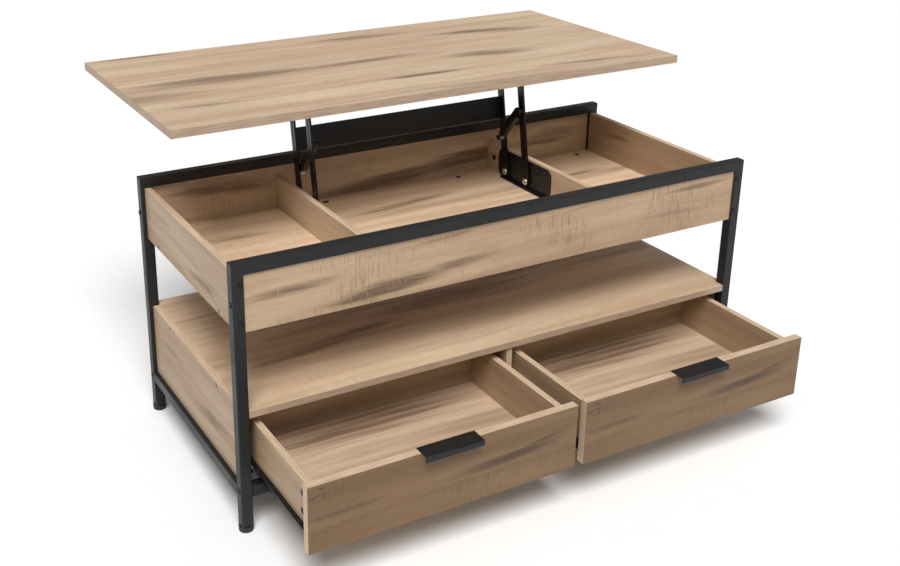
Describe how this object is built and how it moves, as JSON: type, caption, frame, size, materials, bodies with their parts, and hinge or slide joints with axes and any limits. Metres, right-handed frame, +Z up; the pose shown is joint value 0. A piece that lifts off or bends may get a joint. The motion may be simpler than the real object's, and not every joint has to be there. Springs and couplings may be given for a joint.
{
  "type": "lift top coffee table",
  "caption": "Rectangular coffee table: black square-tube frame, a top that lifts and moves back on parallel arms over divided storage, an open shelf and drawers below.",
  "frame": {"origin": "on the floor, at the centre of the footprint of the opened table (raised top and pulled-out drawers)", "axes": "+X along the table, +Y towards the side away from the drawers, +Z up"},
  "size_m": [1.06, 0.9428, 0.6347],
  "materials": {
    "oak_board": "matt printed oak-look laminate with brown streaks",
    "black_steel": "satin black powder coat",
    "black_fastener": "black oxide",
    "black_plastic": "matt black moulded plastic",
    "bright_rivet": "bright zinc",
    "roller_nylon": "off-white nylon",
    "steel_rod": "ground steel"
  },
  "bodies": {
    "root": {"post_front_left": "black_steel", "post_front_right": "black_steel", "top_rail_front": "black_steel", "post_back_left": "black_steel", "post_back_right": "black_steel", "top_rail_back": "black_steel", "lower_long_rails": "black_steel", "lower_side_rails": "black_steel", "cabinet_runners": "black_steel", "feet": "black_plastic", "front_apron": "oak_board", "upper_back_panel": "oak_board", "upper_side_panel_left": "oak_board", "upper_side_panel_right": "oak_board", "compartment_floor": "oak_board", "divider_left": "oak_board", "divider_right": "oak_board", "lower_side_panel_left": "oak_board", "lower_side_panel_right": "oak_board", "shelf": "oak_board", "drawer_partition": "oak_board", "lower_back_panel": "oak_board", "base_bracket_left": "black_steel", "base_bracket_right": "black_steel", "base_rivets": "bright_rivet", "frame_bolts": "black_fastener", "wood_screws": "black_fastener", "cam_nuts": "black_fastener"},
    "front_arms": {"front_arm_left": "black_steel", "front_arm_right": "black_steel"},
    "rear_arms": {"rear_arm_left": "black_steel", "rear_arm_right": "black_steel", "cross_plate": "black_steel"},
    "lift_top": {"tabletop": "oak_board", "top_bracket_left": "black_steel", "top_bracket_right": "black_steel", "top_rivets": "bright_rivet", "top_screws": "black_fastener"},
    "strut_housings": {"strut_housings": "black_steel"},
    "strut_rods": {"strut_rods": "steel_rod"},
    "drawer_left": {"drawer_left_front": "oak_board", "drawer_left_side_left": "oak_board", "drawer_left_side_right": "oak_board", "drawer_left_back": "oak_board", "drawer_left_bottom": "oak_board", "drawer_left_handle": "black_steel", "drawer_left_runners": "black_steel", "drawer_left_fasteners": "black_fastener"},
    "drawer_left_rollers": {"drawer_left_rollers": "roller_nylon"},
    "cabinet_rollers_left": {"cabinet_rollers_left": "roller_nylon"},
    "drawer_right": {"drawer_right_front": "oak_board", "drawer_right_side_left": "oak_board", "drawer_right_side_right": "oak_board", "drawer_right_back": "oak_board", "drawer_right_bottom": "oak_board", "drawer_right_handle": "black_steel", "drawer_right_runners": "black_steel", "drawer_right_fasteners": "black_fastener"},
    "drawer_right_rollers": {"drawer_right_rollers": "roller_nylon"},
    "cabinet_rollers_right": {"cabinet_rollers_right": "roller_nylon"}
  },
  "joints": [
    {"name": "top_lift", "type": "hinge", "parent": "root", "child": "front_arms", "pos_m": [0, 0.04759, 0.391], "axis": [1, 0, 0], "range_deg": [0, 80.45]},
    {"name": "rear_arm_swing", "type": "hinge", "parent": "root", "child": "rear_arms", "pos_m": [0, 0.11959, 0.391], "axis": [1, 0, 0], "range_deg": [0, 80.45]},
    {"name": "top_tilt", "type": "hinge", "parent": "front_arms", "child": "lift_top", "pos_m": [0, 0.08475, 0.60175], "axis": [1, 0, 0], "range_deg": [-80.45, 0]},
    {"name": "strut_housing_swing", "type": "hinge", "parent": "front_arms", "child": "strut_housings", "pos_m": [0, 0.07276, 0.5338], "axis": [1, 0, 0], "range_deg": [-40.23, 0]},
    {"name": "strut_rod_swing", "type": "hinge", "parent": "rear_arms", "child": "strut_rods", "pos_m": [0, 0.13226, 0.46289], "axis": [1, 0, 0], "range_deg": [-40.23, 0]},
    {"name": "drawer_left_slide", "type": "slide", "parent": "root", "child": "drawer_left", "axis": [0, -1, 0], "range_m": [-0.205, 0.02]},
    {"name": "cabinet_rollers_left_spin", "type": "hinge", "parent": "root", "child": "cabinet_rollers_left", "pos_m": [0, -0.22341, 0.11], "axis": [1, 0, 0], "range_deg": [-1469, 144]},
    {"name": "drawer_left_rollers_spin", "type": "hinge", "parent": "drawer_left", "child": "drawer_left_rollers", "pos_m": [0, -0.17541, 0.1083], "axis": [1, 0, 0], "range_deg": [-1469, 144]},
    {"name": "drawer_right_slide", "type": "slide", "parent": "root", "child": "drawer_right", "axis": [0, -1, 0], "range_m": [-0.205, 0.02]},
    {"name": "cabinet_rollers_right_spin", "type": "hinge", "parent": "root", "child": "cabinet_rollers_right", "pos_m": [0, -0.22341, 0.11], "axis": [1, 0, 0], "range_deg": [-1469, 144]},
    {"name": "drawer_right_rollers_spin", "type": "hinge", "parent": "drawer_right", "child": "drawer_right_rollers", "pos_m": [0, -0.17541, 0.1083], "axis": [1, 0, 0], "range_deg": [-1469, 144]}
  ],
  "couplings": [
    {"joint": "rear_arm_swing", "follows": "top_lift", "ratio": 1},
    {"joint": "top_tilt", "follows": "top_lift", "ratio": -1},
    {"joint": "strut_housing_swing", "follows": "top_lift", "ratio": -0.5},
    {"joint": "strut_rod_swing", "follows": "top_lift", "ratio": -0.5},
    {"joint": "cabinet_rollers_left_spin", "follows": "drawer_left_slide", "rad_per_m": 125},
    {"joint": "drawer_left_rollers_spin", "follows": "drawer_left_slide", "rad_per_m": 125},
    {"joint": "cabinet_rollers_right_spin", "follows": "drawer_right_slide", "rad_per_m": 125},
    {"joint": "drawer_right_rollers_spin", "follows": "drawer_right_slide", "rad_per_m": 125}
  ]
}
